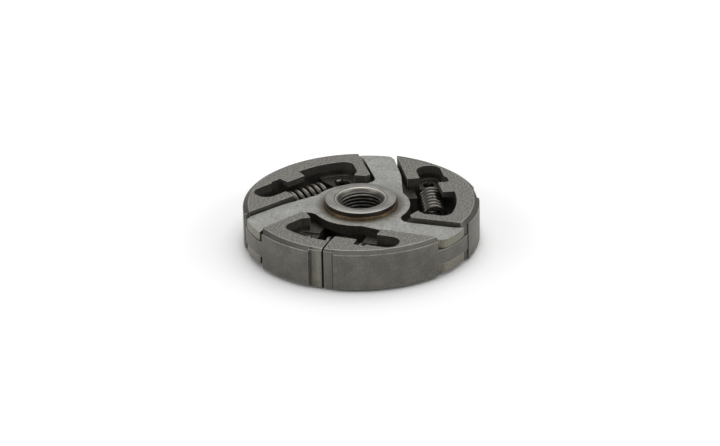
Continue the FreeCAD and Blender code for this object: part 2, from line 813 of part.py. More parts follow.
def add_coils(body, coil_start, coil_end):
    """The coils: a sleeve with a rib for each turn."""
    length = coil_end - coil_start
    pitch = length / size("coil_turns")
    outer = size("coil_mean_radius") + size("wire_radius")
    inner = size("coil_mean_radius") - size("wire_radius")
    sketch = new_sketch(body, "sleeve", coil_start)
    draw_outline(sketch, corners_about(NOTHING, outer - size("coil_valley"), COIL_SIDES))
    pad(body, sketch, length)

    sketch = new_sketch(body, "rib", coil_start + (pitch - size("coil_rib_width")) / 2)
    draw_outline(sketch, corners_about(NOTHING, outer, COIL_SIDES))
    rib = pad(body, sketch, size("coil_rib_width"))
    pattern = body.newObject("PartDesign::LinearPattern", f"{body.Name}_ribs")
    pattern.Originals = [rib]
    pattern.Direction = (plane_of(body, "Z_Axis"), [""])
    pattern.setExpression("Length", (length - pitch).formula)
    pattern.setExpression("Occurrences", size("coil_turns").formula)
    body.Tip = pattern
    doc.recompute()

    sketch = new_sketch(body, "core", coil_end)
    draw_outline(sketch, corners_about(NOTHING, inner, COIL_SIDES))
    pocket(body, sketch, length)


def add_hook(body, name, leaves, stands, side):
    """A hook that runs on below the web, comes up through its hole and bends back.

    It leaves the coil at one place along the spring and stands upright at another.
    Side is which way the coil lies.
    """
    mean = size("coil_mean_radius")
    bend = size("hook_bend")
    top = size("hook_top")
    start = leaves + size("wire_radius") * side
    section = new_sketch(body, f"{name}_section", start)
    draw_outline(section, corners_about(-mean, size("wire_radius"), WIRE_SIDES))
    path = upright_sketch(body, f"{name}_path")
    bent = stands + bend * side
    draw_path(path, [
        (-mean, start),
        (-mean, bent),
        (bend - mean, stands),
        (top - bend, stands),
        (top, bent),
        (top, bent + size("hook_tip") * side),
    ])
    pipe = body.newObject("PartDesign::AdditivePipe", f"{body.Name}_{name}")
    pipe.Profile = section
    pipe.Spine = (path, [])
    pipe.Transition = "Right corner"


make_hub()
make_spacer()
make_plate("drive_plate_lower", plate_low)
make_plate("drive_plate_upper", upper_plate_low)
make_braze_rings()
for shoe in range(SHOES):
    make_shoe(f"shoe_{shoe + 1}", FIRST_GAP + 360 / SHOES * shoe)
for spring in range(SHOES):
    make_spring(f"spring_{spring + 1}", FIRST_GAP + 360 / SHOES * spring)

doc.recompute()
problems = []
bodies = [thing for thing in doc.Objects if thing.TypeId == "PartDesign::Body"]
for thing in doc.Objects:
    if "Invalid" in thing.State or "Error" in thing.State:
        problems.append(f"{thing.Name} is {thing.State}")
for body in bodies:
    if body.Shape.isNull() or not body.Shape.isValid():
        problems.append(f"{body.Label} has no valid shape")
    elif len(body.Shape.Solids) != 1:
        problems.append(f"{body.Label} has {len(body.Shape.Solids)} solids")
if problems:
    raise RuntimeError("; ".join(problems))

for body in bodies:
    body.Shape.exportStep(os.path.join("parts", f"{body.Label}.step"))
    print(f"{body.Label}: {body.Shape.Volume:.1f} mm3")
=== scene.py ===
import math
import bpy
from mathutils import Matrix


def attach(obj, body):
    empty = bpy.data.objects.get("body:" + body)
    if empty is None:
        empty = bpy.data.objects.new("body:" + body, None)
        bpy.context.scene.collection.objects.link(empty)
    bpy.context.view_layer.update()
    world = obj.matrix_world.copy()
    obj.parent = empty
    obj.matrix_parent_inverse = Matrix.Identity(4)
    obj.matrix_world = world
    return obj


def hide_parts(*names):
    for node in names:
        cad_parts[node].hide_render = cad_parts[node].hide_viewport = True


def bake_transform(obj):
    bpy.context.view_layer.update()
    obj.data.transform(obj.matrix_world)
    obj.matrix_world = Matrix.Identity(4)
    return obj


bl_info = {
    "name": "Centrifugal clutch",
    "version": (1, 0, 0),
    "blender": (4, 5, 0),
    "location": "3D View > Sidebar > Clutch",
    "description": "Dresses the packed clutch: hub, drive plates, shoes, springs and the studio",
    "category": "Object",
}

from functools import partial

import bmesh
import bpy
from bpy.props import FloatProperty, FloatVectorProperty, IntProperty, PointerProperty
from mathutils import Matrix, Vector, noise

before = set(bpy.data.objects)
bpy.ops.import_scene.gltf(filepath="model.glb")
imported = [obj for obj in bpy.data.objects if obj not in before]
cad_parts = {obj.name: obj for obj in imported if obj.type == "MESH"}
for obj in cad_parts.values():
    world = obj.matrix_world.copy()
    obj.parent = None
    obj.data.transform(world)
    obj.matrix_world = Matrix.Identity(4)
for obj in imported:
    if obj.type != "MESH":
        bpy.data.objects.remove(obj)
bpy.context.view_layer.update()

ROOT = "hub_group"
SHOES = 3
MM = 0.001
# Angle of the first gap between two shoes, and the step to the next one
FIRST_GAP = math.radians(-109.4)
STEP = math.tau / SHOES

# Levels of the drive plates, and the hub's outline
PLATE_LOW = 1.1 * MM
UPPER_PLATE_TOP = 10.8 * MM
HUB_TOP = 12.7 * MM
BARREL_RADIUS = 8.0 * MM
FLANGE_RADIUS = 9.8 * MM
MOUTH_RADIUS = 7.0 * MM
MIDDLE = 5.95 * MM

# The hub's turned corners: the barrel's and the flange's lower rounding, the rounding of the
# flange's top edge and how far its middle point lies in, and the cone at the bore's lower end
LOWER_ROUND = 0.15 * MM
TOP_ROUND = 0.14 * MM
TOP_ROUND_MIDDLE = 0.04 * MM
BORE_FOOT = 0.6 * MM
# The mouth's lip, from the flange's top down into the bore: past the mouth's radius, and depth
MOUTH_LIP = (
    (0.12 * MM, 0.0),
    (0.0, 0.04 * MM),
    (-0.50 * MM, 0.12 * MM),
    (-0.66 * MM, 0.30 * MM),
)
# The thread: how deep its run-in is, and the shares of its pitch that the crest and a flank take
THREAD_RUN_IN = 0.4 * MM
CREST_SHARE = 0.25
FLANK_SHARE = 0.3125
ROWS_PER_PITCH = 12
HUB_COLUMNS = 144

# Brazed beads: their leg along the plate, how far they sink into the steel, the height of their
# toe and the width of their top as shares, and the steps of the curve between these
BEAD_LEG = 0.5 * MM
BEAD_SINK = 0.05 * MM
BEAD_TOE_HEIGHT = 0.1
BEAD_TOP_WIDTH = 0.15
BEAD_STEPS = 5
BEAD_COLUMNS = 180
# Their uneven run: pace round the ring and share of each unevenness, and how far a ring's radius
# shifts it, so that the two rings differ
BEAD_SWELLS = ((2.2, 0.28), (11.0, 0.1))
BEAD_SHIFT = 100

# Hook holes in the frame of a gap: across the gap, then out along it
HOLE_A = (-14.9 * MM, 22.094 * MM)
HOLE_B = (10.4 * MM, 19.074 * MM)
HOLE_RADIUS = 1.6 * MM

# A shoe's channel for the arm, in the same frame: where its wall folds, the corner where the wall
# meets the rim, and how far that corner flares out
CHANNEL_FLARES = (
    (-26.69 * MM, (-28.40 * MM, 15.60 * MM), (0.80 * MM, 0.60 * MM)),
    (-30.48 * MM, (-32.02 * MM, 5.20 * MM), (-0.06 * MM, -1.80 * MM)),
)
CORNER_REACH = 0.3 * MM
# A face whose normal rises less than this stands upright
UPRIGHT = 0.1
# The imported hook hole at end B, which lies a little beside the real one
PACKED_HOLE_B = (9.8 * MM, 19.594 * MM)
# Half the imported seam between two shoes, how far past it a point still belongs to it, and half the
# seam where the shoes touch
SEAM_PACKED = 0.25 * MM
SEAM_SLACK = 0.01 * MM
SEAM_CLOSED = 0.02 * MM
# Tip of a drive plate's arm: packed radius, measured radius, and where the tip starts and folds
TIP_PACKED = 31.70 * MM
TIP_RADIUS = 32.27 * MM
TIP_START = -27.5 * MM
TIP_FOLD = -29.0 * MM
# Across the tip: its middle, edge B and how far its corner spreads, the corner at edge A and the
# wall behind it, how far that wall is cut back and how far the corner moves in
TIP_MIDDLE = 11.0 * MM
TIP_EDGE_B = 6.4 * MM
TIP_SPREAD = 0.75 * MM
TIP_CORNER_A = 14.4 * MM
TIP_WALL_A = 14.7 * MM
TIP_CUT_BACK = 1.3 * MM
TIP_MOVE_IN = 0.35 * MM
# How close to a place a point may lie and still count as being there
NEAR = 0.1 * MM

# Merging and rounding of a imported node's mesh
MERGE_DISTANCE = 1e-6
FLAT_ANGLE = math.radians(0.5)
EDGE_ANGLE = math.radians(24)
SHARP_ANGLE = math.radians(38)

# Springs: points of the line in one turn and in one bend, the points left out where a hook joins
# the coil, and the straight wire before the coil
TURN_POINTS = 28
BEND_STEPS = 6
JOIN_POINTS = 2
COIL_LEAD = 1.2 * MM

# Where the finishes change. First how much a face looks up or down: 1 lies flat, 0 is upright
FLAT_SLOPE = (0.88, 0.96)
BEVEL_SLOPE = (0.80, 0.90)
UPRIGHT_SLOPE = (0.03, 0.15)
# Then distances from the axis
SHOE_BAY = (30.2 * MM, 30.9 * MM)
SHOE_RIM = (30.6 * MM, 31.2 * MM)
PLATE_BAY = (28.0 * MM, 29.5 * MM)
STAIN_AND_SHADE_RING = (10.5 * MM, 13.0 * MM)
HEAT_HAZE = (11.0 * MM, 18.0 * MM)
FLANGE_WALL = (9.55 * MM, 9.75 * MM)
BROWN_RING = (7.12 * MM, 7.42 * MM)
LIP_HIGHLIGHT_RING = (6.80 * MM, 7.04 * MM)
MOUTH_CONE = (6.32 * MM, 6.78 * MM)
PLAIN_ENTRY = (6.30 * MM, 6.40 * MM)
THREAD_CRESTS = (5.5 * MM, 5.85 * MM)
# Then levels
# Levels between which the shoes' faces in the bays get painted shade
HOLLOW_SHADE_LEVELS = (2.6 * MM, 9.4 * MM)
DEEP_BORE_LEVELS = (11.5 * MM, 11.9 * MM)
BEAD_TOP = (11.0 * MM, 11.35 * MM)
# And stretches of the relieved bands beside a gap, as angles round the axis from the gap: corners
# that get painted shade, and a stretch that gets a painted highlight
GROOVE_SHADE_TURN = (math.radians(113.0), math.radians(114.6))
GROOVE_HIGHLIGHT_TURN = (math.radians(116.6), math.radians(119.4))
PAD_SHADE_TURN = (math.radians(4.7), math.radians(5.5))

# Tints of the details
BROWN_CAST = (0.140, 0.126, 0.100)
SHADED_BEVEL = (0.080, 0.077, 0.066)
# Painted highlight on the relieved groove
GROOVE_HIGHLIGHT = (0.215, 0.205, 0.165)
SHOE_PIT = (0.045, 0.043, 0.037)
PLATE_PIT = (0.060, 0.058, 0.050)
# Painted shade on the plates' cut walls in the bays
BAY_WALL_SHADE = (0.055, 0.050, 0.041)
# Heat browning, also used to paint contact shade round the flange's foot
HEAT_BROWN_AND_SHADE = (0.105, 0.092, 0.062)
RING_BROWN = (0.140, 0.095, 0.045)
# Painted highlight on the hub's lip
LIP_HIGHLIGHT = (0.600, 0.575, 0.510)
CONE_STEEL = (0.170, 0.160, 0.125)
# Painted shade on the flange wall
FLANGE_SIDE_SHADE = (0.046, 0.040, 0.030)
# Painted shade in the bore, and deeper shade in the thread's roots
BORE_SHADE = (0.140, 0.132, 0.112)
THREAD_ROOT_SHADE = (0.022, 0.021, 0.018)
SPACER_STEEL = (0.100, 0.094, 0.080)
BURNT_BRAZE = (0.130, 0.082, 0.042)
# Darker top of the upper bead
DARK_BEAD_TOP = (0.060, 0.045, 0.028)
WIRE_BROWN = (0.120, 0.106, 0.083)

# Values of a noise: where it mostly stays for the mottling and for the roughness, and where
# patches begin and are full
MOTTLE_SPREAD = (0.36, 0.64)
ROUGH_SPREAD = (0.3, 0.7)
BROWN_PATCHES = (0.42, 0.68)
STAIN_PATCHES = (0.2, 0.6)
BRAZE_PATCHES = (0.35, 0.65)
WIRE_PATCHES = (0.35, 0.7)
WEAR_PATCHES = (0.3, 0.65)
# The grain's coarse part: its scale against the fine part, and its share of the relief
COARSE_SCALE = 0.3
COARSE_SHARE = 0.4
# Softness of a pit's edge, as a share of a cell
PIT_EDGE = 0.08

# Floor: half its width, how far below the part it lies, and its painted glow for camera and glossy
# rays: the ring where the glow begins, so that no glow under the part paints its contact shadow, the
# ring where the glow grows, which paints a soft shadow round the part, and its strength inside and
# outside of that ring
FLOOR_HALF = 3.0
FLOOR_SINK = 0.02 * MM
GLOW_START = (31.0 * MM, 35.0 * MM)
GLOW_GROWTH = (35.0 * MM, 110.0 * MM)
GLOW = (0.19, 0.6)
# Lamps: name, the setting that holds the watts, width, and place
LAMPS = (
    ("key_lamp", "key", 1.3, (0.15, 0.35, 1.2)),
    ("left_lamp", "side", 0.8, (-1.1, -0.5, 0.55)),
    ("right_lamp", "side", 0.8, (1.1, -0.4, 0.6)),
)
# Camera, fitted to the outline, the hub and the plan of the shoes
CAMERA_ELEVATION = math.radians(25.6485)
CAMERA_ROLL = math.radians(1.0810)
CAMERA_DISTANCE = 1111.85 * MM
CAMERA_TARGET = (-0.329 * MM, 10.673 * MM, 0.0)
CAMERA_LENS = 200
CAMERA_SENSOR = 36


def colour(name, description, default):
    return FloatVectorProperty(
        name=name, description=description, subtype="COLOR", size=3, min=0, max=1,
        default=default,
    )


def length(name, description, default):
    return FloatProperty(
        name=name, description=description, unit="LENGTH", precision=5, default=default,
    )


def watts(name, description, default):
    return FloatProperty(
        name=name, description=description, unit="POWER", min=0, default=default,
    )


class ClutchThread(bpy.types.PropertyGroup):
    """Sizes of the hub's bore."""

    crest_radius: length("Crest radius", "Radius inside the thread's crests", 5.46 * MM)
    root_radius: length("Root radius", "Radius at the bottom of the thread", 6.0 * MM)
    pitch: length("Pitch", "Rise of the left-hand thread in one turn", 1.0 * MM)
    entry_radius: length("Entry radius", "Radius of the plain entry's inner end", 6.2 * MM)
    entry_depth: length("Entry depth", "Depth of the plain entry", 0.95 * MM)


class ClutchWire(bpy.types.PropertyGroup):
    """Sizes of the springs."""

    wire_radius: length("Wire radius", "Radius of the spring's wire", 0.7 * MM)
    coil_radius: length("Coil radius", "Radius of the wire's line in the coils", 3.05 * MM)
    turns: IntProperty(name="Turns", description="Coils of each spring", default=7, min=2)
    reach_a: length("Reach at end A", "From the hook hole to the first coil", 4.35 * MM)
    reach_b: length("Reach at end B", "From the last coil to the hook hole", 6.4 * MM)
    hook_pull: length("Hook pull", "From the hole's middle to the hook, towards the coil", 0.8 * MM)
    hook_bend: length("Hook bend", "Radius of the two bends in each hook", 0.9 * MM)
    hook_top: length("Hook top", "Height of the hook's tip above the coil's axis", 2.4 * MM)
    hook_tip: length("Hook tip", "Straight tip of each hook", 1.0 * MM)
    sides: IntProperty(name="Sides", description="Sides of the wire", default=14, min=3)


class ClutchFinish(bpy.types.PropertyGroup):
    """Colours, among them painted shade and painted highlights, and wear."""

    shoe_face: colour("Shoe face", "Flat faces of the sintered shoes", (0.222, 0.214, 0.192))
    shoe_rim: colour("Shoe rim", "Friction face and its bevels", (0.132, 0.128, 0.113))
    # Painted shade for the slots' walls and the corners of the relieved bands
    shoe_hollow_shade: colour("Shoe hollow", "Walls of the slots", (0.042, 0.039, 0.033))
    plate_face: colour("Plate face", "Flat faces of the drive plates", (0.392, 0.392, 0.370))
    plate_edge: colour("Plate edge", "Cut edges of the drive plates", (0.212, 0.201, 0.162))
    hub_steel: colour("Hub steel", "Turned faces of the hub", (0.360, 0.352, 0.325))
    braze: colour("Braze", "Brazing metal", (0.270, 0.180, 0.100))
    spring: colour("Spring", "Spring wire", (0.070, 0.064, 0.053))
    # Bright edges: wear, and painted highlights on edges that face up or down
    worn: colour("Worn metal", "Bright metal on worn edges", (0.400, 0.385, 0.345))
    shoe_edge: length("Shoe edge", "Rounding of the shoes' edges", 0.13 * MM)
    plate_edge_width: length("Plate edge rounding", "Rounding of the plates' edges", 0.12 * MM)


class ClutchStudio(bpy.types.PropertyGroup):
    """Floor and light."""

    floor: colour("Floor", "Plain pale floor", (0.86, 0.86, 0.86))
    sky: FloatProperty(name="Sky", description="Light from all round", default=0.42, min=0)
    key: watts("Key lamp", "Power of the lamp overhead", 9.0)
    side: watts("Side lamps", "Power of each side lamp", 2.5)


class Nodes:
    """Adds nodes to a tree. An input is a plain value or another node's output."""

    def __init__(self, tree):
        self.tree = tree

    def add(self, kind, inputs=None, output=0, **settings):
        node = self.tree.nodes.new(kind)
        for name, value in settings.items():
            setattr(node, name, value)
        for key, value in (inputs or {}).items():
            if isinstance(value, bpy.types.NodeSocket):
                self.tree.links.new(value, node.inputs[key])
            else:
                node.inputs[key].default_value = value
        return node.outputs[output]

    def maths(self, operation, a, b=0.0):
        return self.add("ShaderNodeMath", {0: a, 1: b}, operation=operation)

    def ramp(self, value, low, high, to_low=0.0, to_high=1.0):
        """A smooth step that starts at one value and ends at another."""
        return self.add(
            "ShaderNodeMapRange",
            {
                "Value": value, "From Min": low, "From Max": high,
                "To Min": to_low, "To Max": to_high,
            },
            interpolation_type="SMOOTHSTEP",
        )

    def fade(self, value, low, high):
        """A smooth step from one down to nothing."""
        return self.ramp(value, low, high, 1.0, 0.0)

    def mix(self, factor, a, b, blend="MIX"):
        """Two colours mixed. The node has sockets of one name, so they are given by number."""
        return self.add(
            "ShaderNodeMix", {0: factor, 6: a, 7: b}, output=2, data_type="RGBA",
            blend_type=blend,
        )

    def noise(self, vector, scale, detail=3.0, roughness=0.55):
        return self.add(
            "ShaderNodeTexNoise",
            {"Vector": vector, "Scale": scale, "Detail": detail, "Roughness": roughness},
        )


def four(value):
    return (*value, 1.0)


def new_group(name, inputs, outputs):
    """An empty shader group with its named sockets."""
    tree = bpy.data.node_groups.new(name, "ShaderNodeTree")
    for word, default in inputs:
        socket = tree.interface.new_socket(word, in_out="INPUT", socket_type="NodeSocketFloat")
        socket.default_value = default
    for word in outputs:
        tree.interface.new_socket(word, in_out="OUTPUT", socket_type="NodeSocketFloat")
    return tree, Nodes(tree), tree.nodes.new("NodeGroupInput"), tree.nodes.new("NodeGroupOutput")


def place_group():
    """Where a point lies: how far from the axis, how high, which way its face looks, and how
    far round it lies from the gap between two shoes."""
    tree, nodes, _, out = new_group("Clutch place", (), ("Reach", "Level", "Slope", "Flat", "Turn"))
    coordinates = tree.nodes.new("ShaderNodeTexCoord")
    point = tree.nodes.new("ShaderNodeSeparateXYZ")
    tree.links.new(coordinates.outputs["Object"], point.inputs[0])
    facing = tree.nodes.new("ShaderNodeSeparateXYZ")
    tree.links.new(coordinates.outputs["Normal"], facing.inputs[0])
    across = nodes.maths("MULTIPLY", point.outputs[0], point.outputs[0])
    along = nodes.maths("MULTIPLY", point.outputs[1], point.outputs[1])
    slope = nodes.maths("ABSOLUTE", facing.outputs[2])
    turn = nodes.maths("ARCTAN2", point.outputs[1], point.outputs[0])
    results = {
        "Reach": nodes.maths("SQRT", nodes.maths("ADD", across, along)),
        "Level": point.outputs[2],
        "Slope": slope,
        "Flat": nodes.ramp(slope, *FLAT_SLOPE),
        "Turn": nodes.maths("FLOORED_MODULO", nodes.maths("SUBTRACT", turn, FIRST_GAP), STEP),
    }
    for word, result in results.items():
        tree.links.new(result, out.inputs[word])
    return tree


def grain_group():
    """Fine speckle, broad blotches and the relief of a grainy metal."""
    tree, nodes, given, out = new_group(
        "Clutch grain", (("Fine scale", 3500.0), ("Broad scale", 260.0)),
        ("Fine", "Broad", "Relief"),
    )
    point = nodes.add("ShaderNodeTexCoord", output="Object")
    fine = nodes.noise(point, given.outputs["Fine scale"], detail=2.0, roughness=0.7)
    broad = nodes.noise(point, given.outputs["Broad scale"], detail=4.0, roughness=0.6)
    coarse_scale = nodes.maths("MULTIPLY", given.outputs["Fine scale"], COARSE_SCALE)
    coarse = nodes.noise(point, coarse_scale, detail=3.0, roughness=0.6)
    relief = nodes.maths(
        "ADD", nodes.maths("MULTIPLY", fine, 1.0 - COARSE_SHARE),
        nodes.maths("MULTIPLY", coarse, COARSE_SHARE),
    )
    tree.links.new(fine, out.inputs["Fine"])
    tree.links.new(broad, out.inputs["Broad"])
    tree.links.new(relief, out.inputs["Relief"])
    return tree


def pits_group():
    """Small dark pits scattered over a surface."""
    tree, nodes, given, out = new_group(
        "Clutch pits", (("Scale", 1400.0), ("Share", 0.2), ("Size", 0.2)), ("Mask",),
    )
    point = nodes.add("ShaderNodeTexCoord", output="Object")
    cells = tree.nodes.new("ShaderNodeTexVoronoi")
    tree.links.new(point, cells.inputs["Vector"])
    tree.links.new(given.outputs["Scale"], cells.inputs["Scale"])
    luck = nodes.add("ShaderNodeSeparateColor", {"Color": cells.outputs["Color"]})
    chosen = nodes.maths("LESS_THAN", luck, given.outputs["Share"])
    near = nodes.maths("SUBTRACT", given.outputs["Size"], cells.outputs["Distance"])
    spot = nodes.ramp(near, 0.0, PIT_EDGE)
    tree.links.new(nodes.maths("MULTIPLY", chosen, spot), out.inputs["Mask"])
    return tree


def wear_group():
    """Broken bright lines along the rounded edges: wear, with painted highlights where the edges
    catch the light.
    """
    tree, nodes, given, out = new_group(
        "Clutch edge wear", (("Scale", 900.0), ("Amount", 0.8)), ("Mask",),
    )
    point = nodes.add("ShaderNodeTexCoord", output="Object")
    edge = nodes.add("ShaderNodeAttribute", output="Fac", attribute_name="worn")
    patches = nodes.ramp(
        nodes.noise(point, given.outputs["Scale"]), *WEAR_PATCHES, to_low=0.45, to_high=1.0,
    )
    mask = nodes.maths("MULTIPLY", nodes.maths("MULTIPLY", edge, patches), given.outputs["Amount"])
    tree.links.new(mask, out.inputs["Mask"])
    return tree


class Surface:
    """A metal material: colours are laid one over the other, then it is finished."""

    def __init__(self, name, groups, fine_scale, broad_scale):
        self.material = bpy.data.materials.new(name)
        self.material.use_nodes = True
        self.tree = self.material.node_tree
        self.shader = self.tree.nodes["Principled BSDF"]
        self.nodes = Nodes(self.tree)
        self.groups = groups
        place = self.group("place")
        self.reach = place["Reach"]
        self.level = place["Level"]
        self.slope = place["Slope"]
        self.flat = place["Flat"]
        self.turn = place["Turn"]
        self.standing = self.nodes.maths("SUBTRACT", 1.0, self.flat)
        grain = self.group("grain", fine_scale=fine_scale, broad_scale=broad_scale)
        self.fine = grain["Fine"]
        self.broad = grain["Broad"]
        self.relief = grain["Relief"]

    def group(self, word, **values):
        """Adds one of the clutch's shader groups, and gives its outputs."""
        node = self.tree.nodes.new("ShaderNodeGroup")
        node.node_tree = self.groups[word]
        for name, value in values.items():
            node.inputs[name.replace("_", " ").capitalize()].default_value = value
        return node.outputs

    def both(self, *masks):
        result = masks[0]
        for mask in masks[1:]:
            result = self.nodes.maths("MULTIPLY", result, mask)
        return result

    def either(self, a, b):
        return self.nodes.maths("MAXIMUM", a, b)

    def between(self, value, low, high, soft):
        """A mask that is one between two values, with soft ends."""
        rise = self.nodes.ramp(value, low - soft, low + soft)
        fall = self.nodes.fade(value, high - soft, high + soft)
        return self.both(rise, fall)

    def tint(self, base, tone, mask, strength=1.0):
        """The base with another colour laid over it where a mask is."""
        if strength < 1.0:
            mask = self.nodes.maths("MULTIPLY", mask, strength)
        return self.nodes.mix(mask, base, four(tone))

    def mottle(self, base, value, swing):
        """The base made darker and lighter by a noise, up to a share of itself."""
        low, high = MOTTLE_SPREAD
        factor = self.nodes.add("ShaderNodeMapRange", {
            "Value": value, "From Min": low, "From Max": high,
            "To Min": 1.0 - swing, "To Max": 1.0 + swing,
        })
        grey = self.nodes.add(
            "ShaderNodeCombineColor", {"Red": factor, "Green": factor, "Blue": factor},
        )
        return self.nodes.mix(1.0, base, grey, "MULTIPLY")

    def uneven(self, value, low, high):
        """A roughness that a noise carries from low to high."""
        return self.nodes.ramp(value, *ROUGH_SPREAD, low, high)

    def finish(self, base, roughness, depth, metallic):
        tree = self.tree
        tree.links.new(base, self.shader.inputs["Base Color"])
        if isinstance(roughness, bpy.types.NodeSocket):
            tree.links.new(roughness, self.shader.inputs["Roughness"])
        else:
            self.shader.inputs["Roughness"].default_value = roughness
        self.shader.inputs["Metallic"].default_value = metallic
        bump = self.nodes.add(
            "ShaderNodeBump", {"Height": self.relief, "Strength": 1.0, "Distance": depth},
        )
        tree.links.new(bump, self.shader.inputs["Normal"])
        return self.material


def shoe_material(groups, finish):
    """Sintered iron: speckled grey faces, a darker mottled rim, painted shade in the hollows and in
    the corners of the relieved bands, a painted highlight on one band, and edges with wear and
    painted highlights.
    """
    surface = Surface("sintered_shoe", groups, fine_scale=2100.0, broad_scale=210.0)
    nodes = surface.nodes
    base = nodes.mix(surface.flat, four(finish.shoe_rim), four(finish.shoe_face))

    # Painted shade: the shoes' faces in the bays, between the plates' levels, are darkened
    bay = nodes.fade(surface.reach, *SHOE_BAY)
    hollow = surface.both(bay, surface.between(surface.level, *HOLLOW_SHADE_LEVELS, soft=0.4 * MM))
    base = surface.tint(base, finish.shoe_hollow_shade, hollow, strength=0.85)
    blotches = surface.both(nodes.ramp(surface.broad, *BROWN_PATCHES), surface.standing)
    base = surface.tint(base, BROWN_CAST, blotches, strength=0.4)
    bevel = surface.between(surface.slope, *BEVEL_SLOPE, soft=0.02)
    base = surface.tint(base, SHADED_BEVEL, bevel, strength=0.55)

    rim = surface.both(nodes.ramp(surface.reach, *SHOE_RIM), surface.standing)
    # Painted shade in the corners where the relieved bands step down, in the colour of the slots'
    # shade
    groove_corner_shade = surface.between(surface.turn, *GROOVE_SHADE_TURN, soft=0.008)
    pad_corner_shade = surface.between(surface.turn, *PAD_SHADE_TURN, soft=0.004)
    corner = surface.both(rim, surface.either(groove_corner_shade, pad_corner_shade))
    base = surface.tint(base, finish.shoe_hollow_shade, corner, strength=0.75)
    # Painted highlight on the lit stretch of the relieved groove
    lit_band = surface.both(rim, surface.between(surface.turn, *GROOVE_HIGHLIGHT_TURN, soft=0.02))
    base = surface.tint(base, GROOVE_HIGHLIGHT, lit_band, strength=0.6)

    smooth = surface.mottle(base, surface.broad, swing=0.14)
    smooth = surface.mottle(smooth, surface.fine, swing=0.18)
    speckled = surface.mottle(base, surface.fine, swing=0.65)
    base = nodes.mix(surface.flat, smooth, speckled)
    pits = surface.group("pits", scale=1500.0, share=0.30, size=0.26)["Mask"]
    pits = surface.both(pits, nodes.ramp(surface.flat, 0.0, 1.0, to_low=0.2, to_high=0.6))
    base = surface.tint(base, SHOE_PIT, pits)

    # Wear and painted highlights on edges that are not upright, and in the shaded corners
    wear_and_highlight_faces = surface.either(nodes.ramp(surface.slope, *UPRIGHT_SLOPE), corner)
    open_edges = nodes.ramp(hollow, 0.0, 1.0, to_low=1.0, to_high=0.25)
    worn = surface.group("wear", scale=700.0, amount=0.85)["Mask"]
    base = surface.tint(base, finish.worn, surface.both(worn, wear_and_highlight_faces, open_edges))
    roughness = surface.uneven(surface.fine, 0.42, 0.6)
    return surface.finish(base, roughness, depth=0.03 * MM, metallic=0.75)


def plate_material(groups, finish):
    """Stamped steel: pale pitted faces, warm cut edges with painted shade on those in the bays, and
    a heat-browned ring round the hub with painted contact shade at the flange's foot.
    """
    surface = Surface("stamped_plate", groups, fine_scale=1800.0, broad_scale=160.0)
    nodes = surface.nodes
    base = nodes.mix(surface.flat, four(finish.plate_edge), four(finish.plate_face))
    # Painted shade on the plates' cut walls in the bays
    shaded_bay_walls = surface.both(nodes.fade(surface.reach, *PLATE_BAY), surface.standing)
    base = surface.tint(base, BAY_WALL_SHADE, shaded_bay_walls, strength=0.85)
    base = surface.mottle(base, surface.broad, swing=0.08)
    base = surface.mottle(base, surface.fine, swing=0.22)
    # Heat browning round the hub, with painted contact shade at the flange's foot
    blotches = nodes.ramp(surface.broad, *STAIN_PATCHES, to_low=0.55, to_high=1.0)
    stain_and_shade = surface.both(nodes.fade(surface.reach, *STAIN_AND_SHADE_RING), blotches)
    base = surface.tint(base, HEAT_BROWN_AND_SHADE, stain_and_shade, strength=0.9)
    haze = nodes.ramp(surface.reach, *HEAT_HAZE, to_low=0.16, to_high=0.0)
    base = surface.tint(base, HEAT_BROWN_AND_SHADE, haze)
    pits = surface.group("pits", scale=850.0, share=0.22, size=0.24)["Mask"]
    base = surface.tint(base, PLATE_PIT, pits, strength=0.7)
    # Wear and painted highlights on the plates' edges that are not upright
    worn = surface.group("wear", scale=800.0, amount=0.75)["Mask"]
    wear_and_highlight_faces = nodes.ramp(surface.slope, *UPRIGHT_SLOPE)
    base = surface.tint(base, finish.worn, surface.both(worn, wear_and_highlight_faces))
    roughness = surface.uneven(surface.fine, 0.4, 0.55)
    return surface.finish(base, roughness, depth=0.03 * MM, metallic=0.8)


def hub_material(groups, finish):
    """Turned steel: a painted highlight on the lip, a brown ring round it, painted shade on the
    flange wall and in the bore, deepest in the thread's roots.
    """
    surface = Surface("turned_hub", groups, fine_scale=2600.0, broad_scale=300.0)
    nodes = surface.nodes
    base = surface.mottle(four(finish.hub_steel), surface.broad, swing=0.1)
    base = surface.mottle(base, surface.fine, swing=0.1)
    ring = surface.between(surface.reach, *BROWN_RING, soft=0.12 * MM)
    base = surface.tint(base, RING_BROWN, ring, strength=0.75)
    # Painted highlight round the mouth's lip
    lip = surface.between(surface.reach, *LIP_HIGHLIGHT_RING, soft=0.04 * MM)
    base = surface.tint(base, LIP_HIGHLIGHT, lip, strength=0.85)
    cone = surface.between(surface.reach, *MOUTH_CONE, soft=0.06 * MM)
    base = surface.tint(base, CONE_STEEL, cone, strength=0.5)
    # Painted shade on the flange's upright wall
    wall = surface.both(nodes.ramp(surface.reach, *FLANGE_WALL), surface.standing)
    base = surface.tint(base, FLANGE_SIDE_SHADE, wall, strength=0.96)
    # Painted shade in the bore, deepest in the thread's roots below the entry
    entry = nodes.fade(surface.reach, *PLAIN_ENTRY)
    base = surface.tint(base, BORE_SHADE, entry, strength=0.55)
    deep_bore = surface.both(entry, nodes.fade(surface.level, *DEEP_BORE_LEVELS))
    grooves = nodes.ramp(surface.reach, *THREAD_CRESTS, to_low=0.35, to_high=1.0)
    base = surface.tint(base, THREAD_ROOT_SHADE, surface.both(deep_bore, grooves), strength=0.92)
    roughness = surface.uneven(surface.broad, 0.28, 0.42)
    return surface.finish(base, roughness, depth=0.012 * MM, metallic=0.9)


